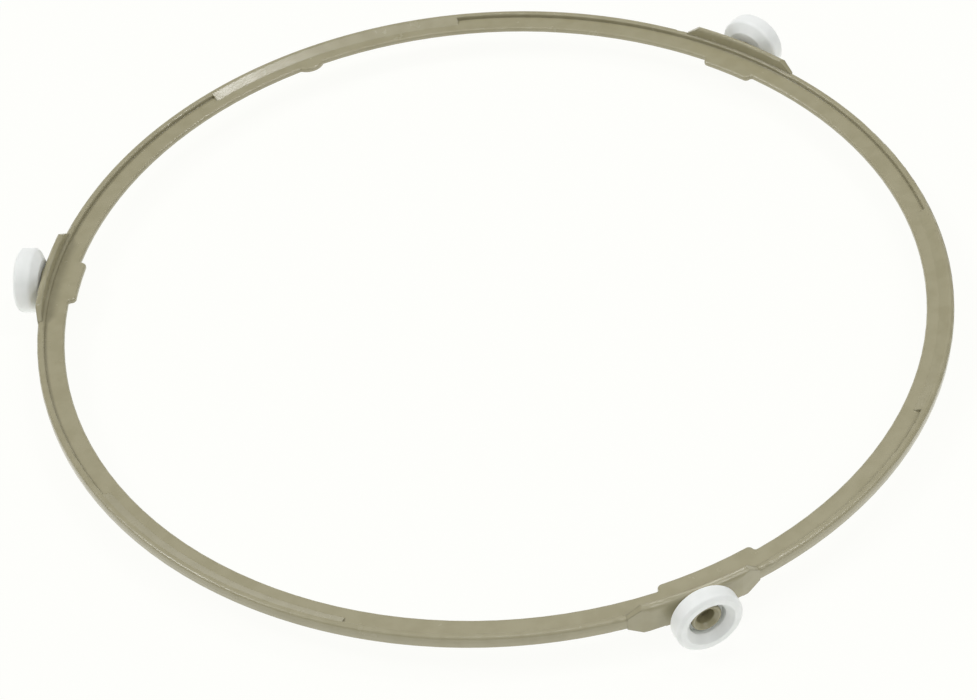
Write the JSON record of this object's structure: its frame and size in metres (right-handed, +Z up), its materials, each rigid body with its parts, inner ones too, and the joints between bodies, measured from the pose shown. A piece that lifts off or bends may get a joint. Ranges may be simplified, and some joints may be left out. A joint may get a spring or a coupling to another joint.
{
  "type": "microwave roller ring",
  "caption": "Thin moulded plastic carrier ring with small loose wheels on stub axles round its outside, on which a microwave oven's glass turntable rolls.",
  "frame": {"origin": "on the ring's axis, at the level of the floor that the wheels roll on", "axes": "+Z up along the ring's axis, -Y out through the front wheel, +X to the right seen from the front"},
  "size_m": [0.198, 0.2044, 0.0144],
  "materials": {
    "ring_plastic": "satin beige-grey heat-resistant plastic",
    "wheel_plastic": "smooth milky white low-friction plastic"
  },
  "bodies": {
    "ring": {"carrier_ring": "ring_plastic"},
    "front_roller": {"wheel_front": "wheel_plastic"},
    "right_roller": {"wheel_right": "wheel_plastic"},
    "left_roller": {"wheel_left": "wheel_plastic"}
  },
  "joints": [
    {"name": "front_roll", "type": "hinge", "parent": "ring", "child": "front_roller", "pos_m": [0, -0.10278, 0.0072], "axis": [0, -1, 0], "continuous": true},
    {"name": "right_roll", "type": "hinge", "parent": "ring", "child": "right_roller", "pos_m": [0.08909, 0.05144, 0.0072], "axis": [0.866, 0.5, 0], "continuous": true},
    {"name": "left_roll", "type": "hinge", "parent": "ring", "child": "left_roller", "pos_m": [-0.08879, 0.05126, 0.0072], "axis": [-0.866, 0.5, 0], "continuous": true}
  ]
}
